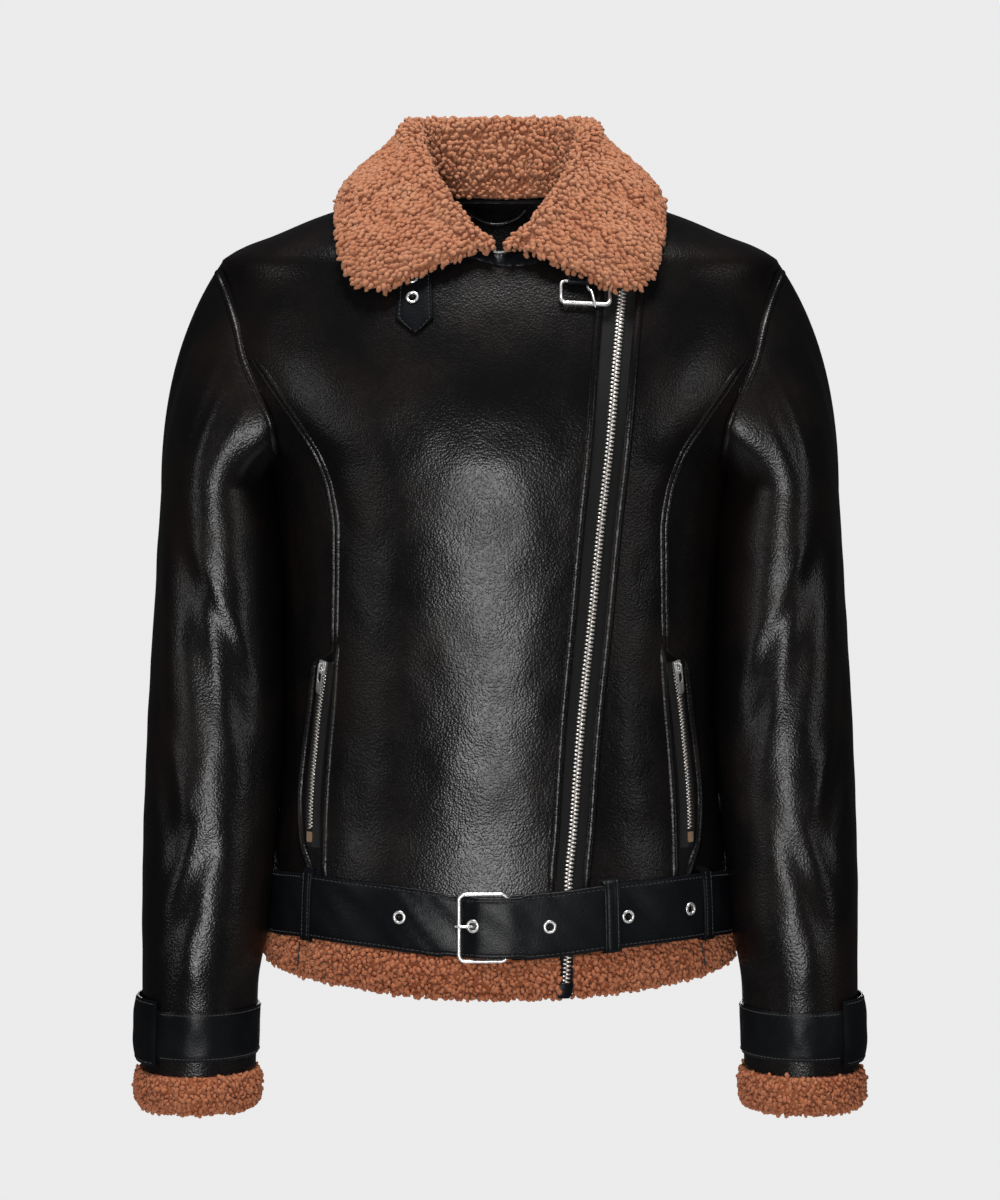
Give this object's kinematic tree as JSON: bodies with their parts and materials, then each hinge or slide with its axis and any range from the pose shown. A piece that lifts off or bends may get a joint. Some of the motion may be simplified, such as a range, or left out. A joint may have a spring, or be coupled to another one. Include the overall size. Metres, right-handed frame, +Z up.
{
  "type": "shearling leather jacket",
  "caption": "Waist-length black leather jacket with an asymmetric zip, fallen shearling collar, shearling hem and cuffs, and a buckled waist belt.",
  "frame": {"origin": "midway between the two neck points, where the wearer's shoulders and neck carry the jacket", "axes": "+Z up the body, -Y out of the front, +X towards the wearer's left"},
  "size_m": [0.5358, 0.2679, 0.732],
  "materials": {
    "black_leather": "pebbled, semi-gloss",
    "strap_leather": "smooth, satin, finely creased",
    "black_lining": "matt",
    "caramel_shearling": "curly pile",
    "rust_shearling": "short nubbly pile",
    "polished_nickel": "polished",
    "zip_tape": "matt woven"
  },
  "bodies": {
    "jacket": {"front_right": "black_leather", "front_left": "black_leather", "side_front_right": "black_leather", "side_front_left": "black_leather", "side_back_right": "black_leather", "side_back_left": "black_leather", "back": "black_leather", "sleeve_right": "black_leather", "sleeve_left": "black_leather", "collar_leather": "black_leather", "cuff_strap_right": "strap_leather", "cuff_strap_left": "strap_leather", "cuff_tab_right": "strap_leather", "cuff_tab_left": "strap_leather", "belt": "strap_leather", "belt_loop_front_right": "strap_leather", "belt_loop_front_left": "strap_leather", "belt_loop_side_left": "strap_leather", "belt_loop_back_left": "strap_leather", "belt_loop_back_right": "strap_leather", "throat_strap": "strap_leather", "neck_buckle_strap": "strap_leather", "back_neck_facing": "black_lining", "hanger_loop": "black_lining", "collar_shearling": "caramel_shearling", "collar_stand_shearling": "caramel_shearling", "cuff_shearling_right": "rust_shearling", "cuff_shearling_left": "rust_shearling", "hem_front_right": "rust_shearling", "hem_front_left": "rust_shearling", "hem_back": "rust_shearling", "belt_eyelet_1": "polished_nickel", "belt_eyelet_2": "polished_nickel", "belt_eyelet_3": "polished_nickel", "belt_eyelet_4": "polished_nickel", "belt_eyelet_5": "polished_nickel", "belt_buckle_frame": "polished_nickel", "belt_buckle_prong": "polished_nickel", "throat_eyelet_1": "polished_nickel", "throat_eyelet_2": "polished_nickel", "main_zip_slider": "polished_nickel", "pocket_slider_right": "polished_nickel", "pocket_slider_left": "polished_nickel", "main_zip_tape": "zip_tape", "pocket_zip_tape_right": "zip_tape", "pocket_zip_tape_left": "zip_tape"},
    "main_zip_pull": {"main_zip_pull": "polished_nickel"},
    "pocket_pull_right": {"pocket_pull_right": "polished_nickel"},
    "pocket_pull_left": {"pocket_pull_left": "polished_nickel"},
    "neck_buckle_frame": {"neck_buckle_frame": "polished_nickel"},
    "neck_buckle_prong": {"neck_buckle_prong": "polished_nickel"}
  },
  "joints": [
    {"name": "main_zip_pull_swing", "type": "hinge", "parent": "jacket", "child": "main_zip_pull", "pos_m": [0.08928, -0.08338, -0.05861], "axis": [-0.9842, -0.1104, 0.1387], "range_deg": [0, 8]},
    {"name": "pocket_pull_right_swing", "type": "hinge", "parent": "jacket", "child": "pocket_pull_right", "pos_m": [-0.12866, -0.08367, -0.34703], "axis": [-0.662, 0.7172, 0.2176], "range_deg": [0, 150]},
    {"name": "pocket_pull_left_swing", "type": "hinge", "parent": "jacket", "child": "pocket_pull_left", "pos_m": [0.12866, -0.08367, -0.34703], "axis": [-0.662, -0.7172, -0.2176], "range_deg": [0, 150]},
    {"name": "neck_buckle_frame_swing", "type": "hinge", "parent": "jacket", "child": "neck_buckle_frame", "pos_m": [0.06056, -0.0925, -0.07231], "axis": [-0.9947, -0.0915, 0.0475], "range_deg": [0, 6]},
    {"name": "neck_buckle_prong_swing", "type": "hinge", "parent": "neck_buckle_frame", "child": "neck_buckle_prong", "pos_m": [0.06056, -0.0925, -0.07231], "axis": [-0.9947, -0.0915, 0.0475], "range_deg": [0, 4]}
  ]
}
